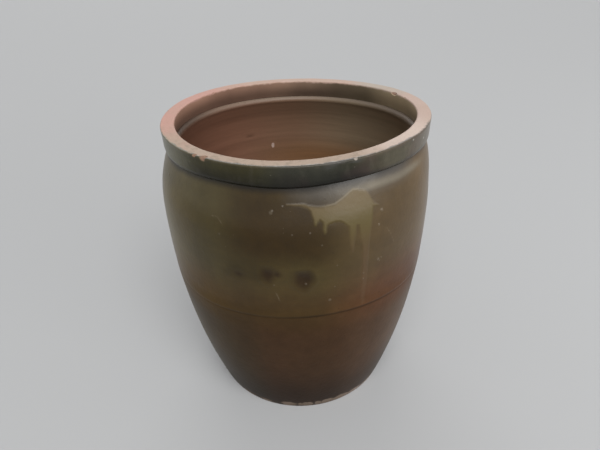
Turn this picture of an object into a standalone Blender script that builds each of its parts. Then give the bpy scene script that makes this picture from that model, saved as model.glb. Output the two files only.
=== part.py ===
"""Large glazed stoneware storage jar, modelled as the four clay sections that a potter lutes together.

The jar stands on z = 0 with its axis on Z. Every section is a turned outline: a floor slab, a lower
wall and an upper wall that meet in a keyed seam below the belly, and a heavy rim collar that sits
round the bevelled top of the upper wall, whose rolled edge stays inside as a ledge.
"""

import math

import bpy

# Overall form, in metres
JAR_HEIGHT = 0.500
FOOT_RADIUS = 0.1647
BELLY_RADIUS = 0.2192
NECK_RADIUS = 0.1998
SHOULDER_HEIGHT = 0.1148
WALL_THICKNESS = 0.0120

# Floor slab
FLOOR_THICKNESS = 0.0150
FOOT_BEVEL = 0.0020
COVE_RADIUS = 0.0120

# Seam between the two walls, and the scored key that holds every luted joint
SEAM_HEIGHT = 0.2640
SEAM_BEVEL = 0.0014
KEY_DEPTH = 0.0030
KEY_WIDTH = 0.0052
JOINT_GAP = 0.0003

# Rim collar
COLLAR_HEIGHT = 0.0352
COLLAR_OVERHANG = 0.0050
COLLAR_FLARE = 0.0006
COLLAR_UNDERSIDE = 0.0008
COLLAR_FOOT_ROUND = 0.0045
RIM_WIDTH = 0.0208
RIM_EDGE_RADIUS = 0.0020
RIM_UNDERCUT = 0.0054

# Ledge inside the mouth, the rolled top edge of the upper wall
LEDGE_DEPTH = 0.0260
LEDGE_ROLL_RADIUS = 0.0075

# Finger ridges that throwing leaves on the inside of both walls
RIDGE_PITCH = 0.0330
RIDGE_HEIGHT = 0.0009

# Curves and counts, which have no length
FOOT_CURVE_POWER = 2.08
SHOULDER_CURVE_POWER = 2.6
UNDERCUT_CURVE_POWER = 1.7
LEDGE_TURN = math.radians(38)
TURN_STEPS = 64
LOWER_OUTLINE_STEPS = 11
UPPER_OUTLINE_STEPS = 13
ROLL_STEPS = 5
COVE_STEPS = 4
EDGE_STEPS = 3
UNDERCUT_STEPS = 5
SHARP_ANGLE = math.radians(35)

# Heights and radii that follow from the sizes above
NECK_HEIGHT = JAR_HEIGHT - COLLAR_HEIGHT
BELLY_HEIGHT = NECK_HEIGHT - SHOULDER_HEIGHT
COLLAR_FOOT_RADIUS = NECK_RADIUS + COLLAR_OVERHANG
RIM_OUTER_RADIUS = COLLAR_FOOT_RADIUS + COLLAR_FLARE
RIM_INNER_RADIUS = RIM_OUTER_RADIUS - RIM_WIDTH
LEDGE_CORNER_RADIUS = RIM_INNER_RADIUS + RIM_UNDERCUT
LEDGE_TOP = JAR_HEIGHT - LEDGE_DEPTH
LEDGE_ROLL_HEIGHT = LEDGE_TOP - LEDGE_ROLL_RADIUS
LEDGE_FOOT_RADIUS = LEDGE_CORNER_RADIUS - LEDGE_ROLL_RADIUS * math.cos(LEDGE_TURN)
LEDGE_FOOT_HEIGHT = LEDGE_ROLL_HEIGHT - LEDGE_ROLL_RADIUS * math.sin(LEDGE_TURN)

# Glazes and clay: linear base colour, roughness
CLAY_BUFF = (0.46, 0.32, 0.26, 1.0), 0.85
GLAZE_RED_BROWN = (0.052, 0.028, 0.019, 1.0), 0.28
GLAZE_OLIVE_BROWN = (0.062, 0.046, 0.024, 1.0), 0.22
GLAZE_BLACK_GREEN = (0.030, 0.030, 0.022, 1.0), 0.25


def swell(height, top, top_height, foot, power):
    """Radius of a curve that leaves `foot` at the ground and stands upright at `top_height`."""
    fall = max(0.0, 1.0 - height / top_height)
    return top - (top - foot) * fall ** power


def draw_in(height, start, start_height, end, end_height, power):
    """Radius of a shoulder that leaves `start` upright and closes to `end` at `end_height`."""
    rise = (height - start_height) / (end_height - start_height)
    return start - (start - end) * rise ** power


def outer_radius(height):
    """Outside of the body at a height, from the ground to the neck."""
    if height <= BELLY_HEIGHT:
        return swell(height, BELLY_RADIUS, BELLY_HEIGHT, FOOT_RADIUS, FOOT_CURVE_POWER)
    return draw_in(height, BELLY_RADIUS, BELLY_HEIGHT, NECK_RADIUS, NECK_HEIGHT, SHOULDER_CURVE_POWER)


def inner_radius(height):
    """Inside of the body at a height, from the ground to the foot of the ledge."""
    belly = BELLY_RADIUS - WALL_THICKNESS
    if height <= BELLY_HEIGHT:
        return swell(height, belly, BELLY_HEIGHT, FOOT_RADIUS - WALL_THICKNESS, FOOT_CURVE_POWER)
    return draw_in(height, belly, BELLY_HEIGHT, LEDGE_FOOT_RADIUS, LEDGE_FOOT_HEIGHT, SHOULDER_CURVE_POWER)


def spaced(low, high, steps):
    """Heights from low to high, both ends included."""
    return [low + (high - low) * i / steps for i in range(steps + 1)]


def arc(centre_radius, centre_height, radius, start, end, steps):
    """Outline points along a circle from one angle to another."""
    points = []
    for angle in spaced(start, end, steps):
        points.append((centre_radius + radius * math.cos(angle), centre_height + radius * math.sin(angle)))
    return points


def outside(low, high, steps):
    """Outside of the body from high to low."""
    return [(outer_radius(height), height) for height in reversed(spaced(low, high, steps))]


def inside(low, high):
    """Inside of the body from low to high, with a finger ridge at every other point."""
    steps = max(2, 2 * round((high - low) / RIDGE_PITCH))
    points = []
    for index, height in enumerate(spaced(low, high, steps)):
        ridge = RIDGE_HEIGHT if index % 2 else 0.0
        points.append((inner_radius(height) - ridge, height))
    return points


def key_points(height, edge_height):
    """The key across a joint at a height, outer shoulder first, drawn on an edge face."""
    middle = (outer_radius(height) + inner_radius(height)) / 2
    return [
        (middle + KEY_WIDTH / 2, edge_height),
        (middle, edge_height - KEY_DEPTH),
        (middle - KEY_WIDTH / 2, edge_height),
    ]


def base_disc_outline():
    """Floor slab: cove ring and groove on top, the foot's bevel below."""
    top = FLOOR_THICKNESS
    points = [(0.0, top)]
    points += reversed(key_points(top, top))
    points += outside(FOOT_BEVEL, top, EDGE_STEPS)
    points += [(outer_radius(0.0) - FOOT_BEVEL, 0.0), (0.0, 0.0)]
    return points


def lower_wall_outline():
    """Lower wall: grooved top edge at the seam, tongue and inner cove where it stands on the slab."""
    top = SEAM_HEIGHT - JOINT_GAP
    bottom = FLOOR_THICKNESS + JOINT_GAP
    cove_top = bottom + COVE_RADIUS
    points = [(outer_radius(top) - SEAM_BEVEL, top)]
    points += outside(bottom, top - SEAM_BEVEL, LOWER_OUTLINE_STEPS)
    points += key_points(FLOOR_THICKNESS, bottom)
    cove_centre = inner_radius(cove_top) - COVE_RADIUS
    points += arc(cove_centre, cove_top, COVE_RADIUS, -math.pi / 2, 0.0, COVE_STEPS)[:-1]
    points += inside(cove_top, top)
    points += reversed(key_points(top, top))
    return points


def upper_wall_outline():
    """Upper wall: bevelled seat for the collar, tongue at the seam, and the rolled ledge on top."""
    bottom = SEAM_HEIGHT
    points = [(LEDGE_CORNER_RADIUS, LEDGE_TOP)]
    points += outside(bottom + SEAM_BEVEL, NECK_HEIGHT, UPPER_OUTLINE_STEPS)
    points += [(outer_radius(bottom) - SEAM_BEVEL, bottom)]
    points += key_points(bottom - JOINT_GAP, bottom)
    points += inside(bottom, LEDGE_FOOT_HEIGHT)[:-1]
    points += arc(
        LEDGE_CORNER_RADIUS, LEDGE_ROLL_HEIGHT, LEDGE_ROLL_RADIUS,
        math.pi + LEDGE_TURN, math.pi / 2, ROLL_STEPS,
    )[:-1]
    return points


def rim_collar_outline():
    """Rim collar: flat top, upright face with a rounded foot, overhang, seat and undercut mouth."""
    foot_height = NECK_HEIGHT + COLLAR_UNDERSIDE + COLLAR_FOOT_ROUND
    mouth_height = JAR_HEIGHT - RIM_EDGE_RADIUS
    points = arc(
        RIM_OUTER_RADIUS - RIM_EDGE_RADIUS, mouth_height, RIM_EDGE_RADIUS, math.pi / 2, 0.0, EDGE_STEPS
    )
    points += arc(
        COLLAR_FOOT_RADIUS - COLLAR_FOOT_ROUND, foot_height, COLLAR_FOOT_ROUND, 0.0, -math.pi / 2, EDGE_STEPS
    )
    points += [(NECK_RADIUS + JOINT_GAP, NECK_HEIGHT)]
    for height in spaced(LEDGE_TOP, mouth_height, UNDERCUT_STEPS)[:-1]:
        fall = (mouth_height - height) / (mouth_height - LEDGE_TOP)
        lean = (RIM_UNDERCUT + JOINT_GAP) * fall ** UNDERCUT_CURVE_POWER
        points.append((RIM_INNER_RADIUS + lean, height))
    points += arc(
        RIM_INNER_RADIUS + RIM_EDGE_RADIUS, mouth_height, RIM_EDGE_RADIUS, math.pi, math.pi / 2, EDGE_STEPS
    )
    return points


def clear_scene():
    """Remove every object that the file holds at the start."""
    for item in list(bpy.data.objects):
        bpy.data.objects.remove(item, do_unlink=True)


def new_collection(name):
    """Collection under the scene's own."""
    collection = bpy.data.collections.new(name)
    bpy.context.scene.collection.children.link(collection)
    return collection


def new_material(name, finish):
    """Principled material with one base colour and roughness."""
    colour, roughness = finish
    material = bpy.data.materials.new(name)
    material.use_nodes = True
    shader = material.node_tree.nodes["Principled BSDF"]
    shader.inputs["Base Color"].default_value = colour
    shader.inputs["Roughness"].default_value = roughness
    shader.inputs["Metallic"].default_value = 0.0
    material.diffuse_color = colour
    return material


def turned(name, outline, closed, material, collection):
    """Spin an outline round Z into one closed solid, smooth but for its sharp edges."""
    vertices = [(radius, 0.0, height) for radius, height in outline]
    edges = [(i, i + 1) for i in range(len(vertices) - 1)]
    if closed:
        edges.append((len(vertices) - 1, 0))
    profile_mesh = bpy.data.meshes.new(name + "_profile")
    profile_mesh.from_pydata(vertices, edges, [])
    profile = bpy.data.objects.new(name + "_profile", profile_mesh)
    collection.objects.link(profile)

    screw = profile.modifiers.new("turn", "SCREW")
    screw.axis = "Z"
    screw.angle = 2 * math.pi
    screw.steps = TURN_STEPS
    screw.render_steps = TURN_STEPS
    screw.use_merge_vertices = True
    screw.merge_threshold = JOINT_GAP / 10
    screw.use_smooth_shade = True

    bpy.context.view_layer.update()
    evaluated = profile.evaluated_get(bpy.context.evaluated_depsgraph_get())
    mesh = bpy.data.meshes.new_from_object(evaluated)
    bpy.data.objects.remove(profile, do_unlink=True)
    bpy.data.meshes.remove(profile_mesh)

    mesh.name = name
    mesh.shade_smooth()
    mesh.set_sharp_from_angle(angle=SHARP_ANGLE)
    mesh.materials.clear()
    mesh.materials.append(material)
    solid = bpy.data.objects.new(name, mesh)
    collection.objects.link(solid)
    return solid


def main():
    """Build the jar's four sections."""
    clear_scene()
    jar = new_collection("pottery_jar")
    turned("base_disc", base_disc_outline(), False, new_material("bare_clay", CLAY_BUFF), jar)
    turned("lower_wall", lower_wall_outline(), True, new_material("glaze_red_brown", GLAZE_RED_BROWN), jar)
    turned("upper_wall", upper_wall_outline(), True, new_material("glaze_olive_brown", GLAZE_OLIVE_BROWN), jar)
    turned("rim_collar", rim_collar_outline(), True, new_material("glaze_black_green", GLAZE_BLACK_GREEN), jar)


if __name__ == "__main__":
    main()
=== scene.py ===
"""Dressing of a large glazed storage jar: turned walls, a heavy rim, glaze runs and bare clay."""

import math

import bpy
import numpy as np
from bpy.props import FloatProperty, FloatVectorProperty, IntProperty, PointerProperty
from mathutils import Matrix, Vector


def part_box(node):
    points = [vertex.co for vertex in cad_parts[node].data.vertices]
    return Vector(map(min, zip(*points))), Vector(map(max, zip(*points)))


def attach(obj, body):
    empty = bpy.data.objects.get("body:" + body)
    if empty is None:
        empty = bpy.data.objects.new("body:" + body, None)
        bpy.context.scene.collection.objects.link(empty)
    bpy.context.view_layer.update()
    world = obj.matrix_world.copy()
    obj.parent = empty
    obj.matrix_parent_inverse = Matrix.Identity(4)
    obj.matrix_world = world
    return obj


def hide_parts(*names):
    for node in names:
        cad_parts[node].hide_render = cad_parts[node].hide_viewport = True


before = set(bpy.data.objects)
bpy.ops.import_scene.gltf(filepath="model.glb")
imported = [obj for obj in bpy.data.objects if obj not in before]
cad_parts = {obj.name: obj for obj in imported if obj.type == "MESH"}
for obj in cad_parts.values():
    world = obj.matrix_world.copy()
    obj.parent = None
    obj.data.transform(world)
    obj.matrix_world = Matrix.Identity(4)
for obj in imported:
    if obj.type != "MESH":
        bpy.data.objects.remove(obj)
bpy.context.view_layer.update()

bl_info = {
    "name": "Storage Jar",
    "version": (1, 0, 0),
    "blender": (4, 5, 0),
    "location": "View3D > Sidebar > Jar",
    "description": "Models and glazes a large stoneware storage jar in four luted sections",
    "category": "Object",
}

MM = 0.001
MERGE_DISTANCE = MM / 50

# Shape that the sections share: lengths in metres, and the powers of its curves
FOOT_RADIUS = 0.1647
NECK_RADIUS = 0.1998
SHOULDER_HEIGHT = 0.1148
WALL_THICKNESS = 0.0120
FOOT_CURVE_POWER = 2.08
SHOULDER_CURVE_POWER = 2.6
FOOT_BEVEL = 0.0020
COVE_RADIUS = 0.0120
KEY_DEPTH = 0.0030
JOINT_OVERLAP = 0.0002

# Rim collar and ledge: lengths in metres, the power of a curve, and an angle
COLLAR_OVERHANG = 0.0050
COLLAR_UNDERSIDE = 0.0008
COLLAR_FOOT_WIDTH = 0.0047
COLLAR_FOOT_HEIGHT = 0.0100
RIM_WIDTH = 0.0208
RIM_EDGE_RADIUS = 0.0020
RIM_UNDERCUT = 0.0054
UNDERCUT_CURVE_POWER = 1.7
LEDGE_DEPTH = 0.0305
LEDGE_ROLL_RADIUS = 0.0062
LEDGE_TURN = math.radians(38)

# How the rim went out of true in drying: lengths in metres, and shares of the radius
RIM_SHIFT = (0.0038, 0.0031)
RIM_OVAL_SHARES = (0.0106, 0.0033)
RIM_TRIANGLE_SHARE = -0.0021
RIM_TILT_SHARE = 0.0040
RIM_WAVE = (0.0021, -0.0016)
RIM_SAMPLES = 721
WARP_START = 0.392

# How the seam of the walls and the foot of the collar wander: bearing, half turn in degrees, rise
SEAM_LIFTS = ((-48, 28, -0.0062), (62, 20, -0.0050), (12, 16, 0.0012), (165, 40, -0.0024))
SEAM_REACH = 0.060
NECK_LIFTS = ((26, 26, 0.0044), (-28, 20, 0.0040), (150, 30, 0.0016), (-120, 30, -0.0014))
NECK_REACH_DOWN = 0.035
NECK_REACH_UP = 0.026

# Glaze run and pale lines, as bearings in degrees from the front and heights in metres
RUN_TOP = (
    (-3.3, 0.4424), (0.2, 0.4425), (2.9, 0.4428), (4.8, 0.4404), (7.7, 0.4387), (10.2, 0.4380),
    (14.2, 0.4399), (17.0, 0.4448), (18.6, 0.4481), (20.3, 0.4518), (21.6, 0.4540), (23.7, 0.4532),
)
RUN_OUTLINE = (
    *RUN_TOP,
    (26.5, 0.4504), (27.7, 0.4462), (28.7, 0.4383), (29.5, 0.4309), (32.0, 0.4251), (29.1, 0.4259),
    (28.3, 0.4131), (27.4, 0.3981), (26.7, 0.3808), (26.5, 0.3584), (26.3, 0.3040), (26.0, 0.2694),
    (24.6, 0.2696), (24.1, 0.2979), (24.0, 0.3345), (23.7, 0.3717), (22.9, 0.3852), (22.4, 0.4063),
    (21.7, 0.4070), (20.8, 0.3874), (20.2, 0.3692), (19.4, 0.3701), (18.7, 0.3818), (18.6, 0.4069),
    (17.9, 0.4103), (16.6, 0.4147), (15.6, 0.4170), (13.8, 0.4178), (11.6, 0.4158), (10.8, 0.4136),
    (10.4, 0.4055), (9.8, 0.4030), (9.3, 0.4074), (9.3, 0.4184), (8.3, 0.4221), (7.6, 0.4191),
    (6.9, 0.4147), (6.2, 0.4156), (5.8, 0.4250), (5.2, 0.4334), (3.9, 0.4381), (1.5, 0.4407),
)
PALE_LINES = (
    ((-32.7, 0.4162), (-31.0, 0.4190), (-29.6, 0.4185), (-28.0, 0.4130), (-27.2, 0.4087)),
    ((-8.3, 0.3110), (-7.6, 0.3030), (-7.2, 0.2969)),
    ((34.2, 0.3905), (36.6, 0.3780), (38.6, 0.3610)),
)

# Finger marks: bearing, height, half width, half height, depth, faintness
FINGER_MARKS = (
    (-10.9, 0.3420, 0.0140, 0.0165, 0.0012, 0.08),
    (2.0, 0.3341, 0.0158, 0.0175, 0.0028, -0.16),
    (-22.2, 0.3362, 0.0150, 0.0095, 0.0004, 0.42),
    (-7.6, 0.3435, 0.0135, 0.0120, 0.0006, 0.34),
)
# Warts in the glaze: bearing, height, radius; the two at 2.7 and -8.8 degrees, low on the finger marks,
# also paint a glint
WARTS = (
    (-9.0, 0.4324, 0.0026), (-8.6, 0.4345, 0.0018), (-4.8, 0.4402, 0.0015), (-1.6, 0.4053, 0.0012),
    (-28.5, 0.3957, 0.0016), (4.6, 0.4064, 0.0013), (32.6, 0.4177, 0.0024), (30.8, 0.3990, 0.0019),
    (30.9, 0.3433, 0.0025), (32.4, 0.3441, 0.0014), (31.6, 0.3400, 0.0013), (24.7, 0.3282, 0.0013),
    (24.6, 0.3183, 0.0014), (13.3, 0.3166, 0.0012), (11.5, 0.2934, 0.0024), (14.0, 0.3526, 0.0012),
    (36.7, 0.2485, 0.0016), (8.6, 0.3877, 0.0013), (2.7, 0.3262, 0.0018), (-8.8, 0.3255, 0.0012),
)
# Scattered warts: their number, and the ranges of bearing, height and radius
SCATTERED_WARTS = 30
SCATTER_RANGES = ((48, 312), (0.28, 0.44), (0.0010, 0.0022))

# Bare clay at the foot: bearing, height, half turn in degrees, half height
FOOT_PATCHES = (
    (-37.0, 0.006, 5.0, 0.004), (-24.0, 0.007, 4.0, 0.004), (-9.0, 0.010, 4.6, 0.0085),
    (-1.8, 0.010, 1.6, 0.006), (2.6, 0.010, 3.4, 0.0085), (9.0, 0.011, 2.2, 0.007),
    (15.0, 0.010, 4.0, 0.0095), (24.0, 0.009, 6.0, 0.0090), (35.0, 0.008, 6.0, 0.0070),
    (47.0, 0.007, 5.0, 0.0060), (88.0, 0.007, 6.0, 0.0055), (131.0, 0.007, 7.0, 0.0060),
    (-70.0, 0.006, 6.0, 0.0050), (-118.0, 0.007, 8.0, 0.0060), (-162.0, 0.006, 5.0, 0.0050),
)
# Height below which the foot is scuffed bare all round, in metres
FOOT_SCUFF = 0.0035
# Chips of the rim: bearing, 1 on the outer edge or 0 on the inner, half width, half height, depth
RIM_CHIPS = (
    (-36.4, 1, 0.0066, 0.0060, 0.0022), (-40.6, 1, 0.0044, 0.0034, 0.0008),
    (21.0, 1, 0.0034, 0.0030, 0.0007), (114.5, 0, 0.0086, 0.0044, 0.0018),
    (104.0, 0, 0.0030, 0.0016, 0.0005), (150.0, 1, 0.0040, 0.0020, 0.0008),
    (-95.0, 1, 0.0034, 0.0018, 0.0006), (-128.0, 0, 0.0040, 0.0016, 0.0006),
)
# Pale specks on the collar's face: bearing, share of its height, radius
COLLAR_SPECKS = ((49.5, 0.90, 0.0016), (59.5, 0.62, 0.0018), (-148, 0.55, 0.0012), (104, 0.35, 0.0014))
# Inside: bearing, height, half width, half height
WALL_PITS = ((-154.0, 0.3870, 0.0130, 0.0036),)
WALL_FLECK = (-167.2, 0.3600, 0.0040, 0.0072)

# Spacing of the points along the outlines, in metres
SEAM_PITCH = 0.0006
FOOT_PITCH = 0.0012
COLLAR_PITCH = 0.0014
LOWER_WALL_PITCH = 0.0024
UPPER_WALL_PITCH = 0.0028
LOWER_INSIDE_PITCH = 0.0036
UPPER_INSIDE_PITCH = 0.0040
FLOOR_PITCH = 0.0030
UNDERSIDE_PITCH = 0.0060
SEAM_FINE_REACH = 0.010
SEAM_FINE_GAP = 0.002
FLOOR_MIDDLE = 0.002
UNDERSIDE_INSET = 0.004
# Steps of the rounded corners; angles in degrees
FOOT_ARC_START = -12
FOOT_STEPS = 5
COVE_STEPS = 8
LEDGE_STEPS = 12
EDGE_STEPS = 7
COLLAR_FOOT_PITCH = 6

# Edges sharper than these stay sharp, in degrees
SLAB_SHARP = 40
WALL_SHARP = 45
COLLAR_SHARP = 50

# Joints of the sections, in metres, and the share of the seam's depth that the sides keep
KEY_HALF_WIDTH = 0.85 * KEY_DEPTH
SLAB_INSET = 0.00005
SEAM_GROOVE = 0.0003
SEAM_GROOVE_WIDTH = 0.0020
SEAM_LIP = 0.0001
SEAM_LIP_OFFSET = 0.0045
SEAM_LIP_WIDTH = 0.0022
SEAM_SIDE_SHARE = 0.2
# Fronts, as bearing, half turn and core in degrees: where the seam is deeper, where the wall lies
# lower, and where the glaze reaches over the rim's edge
SEAM_FRONT = (10.0, 60.0, 29.54)
WALL_FRONT = (0.0, 60.0, 45.0)
RIM_FRONT = (0.0, 95.0, 35.0)

# Throwing rings inside, in metres
SLOW_RING_PITCH = 0.033
FINE_RING_PITCH = 0.0087
FINE_RING_SHARE = 0.3
RING_DEPTH = 0.0004
FLOOR_RING_PITCH = 0.014
FLOOR_RING_DEPTH = 0.0004

# Relief of the glaze run: its thickness, the heights between which it gains that, the reach of
# its edge, and its lip and the pale lines as shares of the thickness, with their reach
RUN_THICKNESS = 0.0005
RUN_RISE = (0.27, 0.36)
RUN_EDGE = (-0.0010, 0.0024)
LIP_SHARE = 0.6
LIP_REACH = 0.0024
LINE_SHARE = 0.4
LINE_REACH = 0.0018
# Relief of the marks: depths and heights in metres, reach as a share of a mark's size
MARK_REACH = 1.05
MARK_RIM_SHARE = 0.2
MARK_RIM_PLACE = 1.1
MARK_RIM_WIDTH = 0.2
WART_HEIGHT = 0.0008
WART_REACH = 1.2
PIT_DEPTH = 0.0012
FLECK_HEIGHT = 0.0006
DENT_REACH = 1.2
# Unevenness of a spot's edge, as shares of its size
SPOT_UNEVENNESS = (0.05, 0.04)
# Start for a nearest distance, larger than any on the jar
FAR = 9.0

# Unevenness of a hand-made wall: depths in metres, waves round the jar, radians per metre up it
WALL_ALLOWANCE = 0.0008
WALL_UNEVENNESS = 0.00025
COLLAR_UNEVENNESS = 0.0003
LUMP_COUNTS = (2, 3, 5, 7)
LUMP_RATES = (8, 22)
WEAR_COUNTS = (5, 9, 14, 23, 37)
# Seeds of the random draws
LOWER_WALL_SEED = 11
UPPER_WALL_SEED = 7
COLLAR_SEED = 17
WART_SEED = 5
WEAR_SEED = 3
# Lengths over which that unevenness fades out at an end of a wall, in metres
FOOT_FADE = 0.04
SEAM_FADE = 0.02
NECK_FADE = 0.03
LEDGE_FADE = 0.03

# Where the mesh is finer: a field of the upper wall, and near the run, the marks and the chips
FINE_BEARINGS = (-14, 34)
FINE_HEIGHTS = (0.268, 0.459)
FINE_OUTLINE_REACH = 0.0028
FINE_WART_REACH = 0.0030
FINE_SPOT_REACH = 1.3

# Chips of the rim: shares of a chip's height or depth
CHIP_INSET = 0.5
CHIP_SINK = 0.15
CHIP_CORE = 0.45
CHIP_DROP = 0.6
# How far the bare clay of the rim reaches past the start of the rounded edge, in metres
BARE_AT_FRONT = -0.0019
BARE_OVER_EDGE = 0.0036
BARE_IN_MOUTH = 0.0042
BARE_MOUTH_GAIN = -0.0010
RIM_TOP_REACH = 0.006
# How far past the cove the glaze ends on the floor slab, in metres
FLOOR_GLAZE_END = (0.004, 0.008)

# Gloss: index of refraction of a full and of a thin glaze
GLAZE_IOR = 1.33
THIN_GLAZE_IOR = 1.15
# Radius inside which colours stop depending on the bearing, in metres
CORE_RADIUS = 0.14

# Tones laid over a colour on one side of the jar: bearing, half turn, core in degrees, share, tone
CLAY_SIDES = (
    (180, 95, 30, 1.0, (0.485, 0.350, 0.288)),
    (82, 50, 10, 1.0, (0.492, 0.370, 0.316)),
    (-106, 52, 22, 1.0, (0.498, 0.288, 0.240)),
    (50, 28, 6, 0.9, (0.58, 0.470, 0.405)),
    (128, 22, 0, 0.8, (0.41, 0.365, 0.310)),
)
INSIDE_SIDES = (
    (-105, 75, 0, 0.8, (0.266, 0.123, 0.080)),
    (115, 70, 0, 0.75, (0.245, 0.200, 0.128)),
)
SEAM_SIDES = (
    (102, 48, 12, 1.0, (0.076, 0.045, 0.0250)),
    (-104, 50, 16, 1.0, (0.060, 0.042, 0.0175)),
    (-57, 34, 8, 1.0, (0.074, 0.040, 0.0075)),
)
# On the lower wall the pale greyish tones at -88 and 90 degrees partly paint the glossy haze near the
# jar's outline
FOOT_SIDES_AND_PAINTED_HAZE = (
    (-45, 34, 8, 1.0, (0.0435, 0.0270, 0.0122)),
    (-88, 60, 5, 1.0, (0.080, 0.061, 0.037)),
    (58, 46, 16, 1.0, (0.068, 0.038, 0.0215)),
    (90, 58, 5, 1.0, (0.093, 0.064, 0.045)),
)
COLLAR_SIDES = (
    (-35, 36, 8, 0.8, (0.0370, 0.0320, 0.0100)),
    (5, 20, 3, 0.7, (0.0300, 0.0305, 0.0230)),
)

# Other tones that the materials lay over those of the panel, as linear values
CLAY_CLOUD = (0.42, 0.305, 0.235)
CLAY_BLUSH = (0.52, 0.280, 0.230)
CLAY_SMOKE = (0.21, 0.170, 0.128)
CLAY_GRIT = (0.20, 0.14, 0.10)
CLAY_STAIN = (0.30, 0.23, 0.17)
CLAY_EDGE = (0.30, 0.180, 0.135)
INSIDE_CLOUD = (0.190, 0.116, 0.066)
INSIDE_LOW = (0.200, 0.100, 0.042)
# Glaze of the ledge's roll, paled to paint the highlight along its top
LEDGE_GLAZE_AND_HIGHLIGHT = (0.205, 0.160, 0.124)
LEDGE_LEFT_GLAZE_AND_HIGHLIGHT = (0.178, 0.120, 0.088)
INSIDE_PIT = (0.040, 0.020, 0.013)
INSIDE_FLECK = (0.60, 0.46, 0.40)
SEAM_BROWN = (0.050, 0.029, 0.0105)
SEAM_DARK = (0.012, 0.007, 0.003)
WALL_CLOUD = (0.052, 0.032, 0.009)
WALL_LEFT = (0.112, 0.085, 0.032)
WALL_SHOULDER = (0.074, 0.059, 0.026)
WALL_FRONT_LEFT = (0.044, 0.032, 0.010)
WALL_SMUDGE = (0.027, 0.0175, 0.0038)
WALL_RIGHT = (0.111, 0.071, 0.032)
# Painted sheen: greyish reflections of the room on the shoulder just under the collar
WALL_PAINTED_SHEEN_BELOW_COLLAR = (0.094, 0.085, 0.073)
WALL_PAINTED_SHEEN = (0.165, 0.142, 0.104)
RUN_AT_SHOULDER = (0.092, 0.069, 0.024)
RUN_LOW = (0.098, 0.058, 0.030)
# Painted highlight along the run's raised lip
RUN_LIP_HIGHLIGHT = (0.21, 0.175, 0.120)
MARK_DARK = (0.018, 0.0075, 0.0012)
# Pale tone of the warts, which on the two low on the finger marks is a painted glint
WART_AND_GLINT_PALE = (0.20, 0.165, 0.12)
LINE_PALE = (0.19, 0.15, 0.10)
WALL_PALE_SPECK = (0.17, 0.14, 0.10)
WALL_BURNT_SPECK = (0.016, 0.011, 0.008)
FOOT_CLOUD = (0.044, 0.0215, 0.0100)
FOOT_PALE_SPECK = (0.13, 0.095, 0.065)
FOOT_BURNT_SPECK = (0.014, 0.009, 0.007)
COLLAR_CLOUD = (0.031, 0.030, 0.016)
COLLAR_BROWN = (0.036, 0.025, 0.021)
COLLAR_LEFT = (0.128, 0.120, 0.073)
COLLAR_RIGHT_OLIVE = (0.070, 0.061, 0.039)
COLLAR_RIGHT_BROWN = (0.088, 0.063, 0.047)
COLLAR_FAR_RIGHT = (0.154, 0.129, 0.103)
COLLAR_SCUFF = (0.090, 0.080, 0.060)
COLLAR_GLINT = (0.100, 0.100, 0.112)
COLLAR_PALE_SPECK = (0.16, 0.14, 0.11)
COLLAR_WORN = (0.088, 0.064, 0.043)
COLLAR_SPECK = (0.46, 0.43, 0.39)
COLLAR_PALE_EDGE = (0.42, 0.385, 0.340)
MOUTH_TONE = (0.205, 0.148, 0.104)
MOUTH_LEFT = (0.205, 0.118, 0.084)
MOUTH_RIGHT = (0.290, 0.233, 0.150)
CHIP_DARK = (0.22, 0.130, 0.090)
CHIP_FRONT = (0.35, 0.300, 0.260)

# Stage: lengths in metres, angles in degrees, lens in millimetres, power in watts
FLOOR_SIZE = 30.0
FLOOR_COLOUR = (0.455, 0.46, 0.465)
AMBIENT_LEVEL = 0.36
LAMP_TARGET = (0.0, 0.0, 0.3)
# Suns: name, azimuth, elevation, spread, strength in watts per square metre
SUNS = (("high_lamp", 8, 50, 50, 2.3), ("back_lamp", 186, 30, 50, 0.8))
# Softboxes: name, azimuth, distance, height of the middle, width, height, power
SOFTBOXES = (
    ("front_softbox", 43, 3.6, 1.22, 2.6, 0.8, 40.0),
    ("right_softbox", 72, 3.2, 0.95, 2.4, 1.2, 9.0),
)
CAMERA_PLACE = (0.0048, -0.7195, 0.7334)
CAMERA_PITCH = 31.81
CAMERA_ROLL = -1.93
CAMERA_LENS = 28.2
CAMERA_SENSOR = 36.0


def record_height(node, corner):
    """Height of a node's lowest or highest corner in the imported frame."""
    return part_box(node)[corner].z


def length(name, description, default):
    """Length that the panel shows."""
    return FloatProperty(name=name, description=description, default=default, unit="LENGTH")


def tone(name, description, default):
    """Colour that the panel shows, as linear values."""
    return FloatVectorProperty(
        name=name, description=description, default=default, subtype="COLOR", min=0, max=1,
    )


class JarShape(bpy.types.PropertyGroup):
    """Sizes that the sections are turned to."""

    height: length("Height", "Top of the rim above the floor", record_height("rim_collar", 1))
    neck_height: length(
        "Neck height", "Foot of the rim collar above the floor", record_height("rim_collar", 0),
    )
    seam_height: length(
        "Seam height", "Joint of the two walls above the floor",
        record_height("upper_wall", 0) + KEY_DEPTH,
    )
    floor_thickness: length(
        "Floor thickness", "Thickness of the floor slab", record_height("base_disc", 1),
    )
    belly_radius: length("Belly radius", "Greatest radius of the body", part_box("upper_wall")[1].x)
    rim_radius: length(
        "Rim radius", "Outer radius of the rim's flat top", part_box("rim_collar")[1].x,
    )
    turn_steps: IntProperty(
        name="Turn steps", description="Facets round a wall", default=384, min=64, max=768,
    )
    rim_steps: IntProperty(
        name="Rim steps", description="Facets round the rim collar", default=640, min=64, max=1024,
    )


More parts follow.
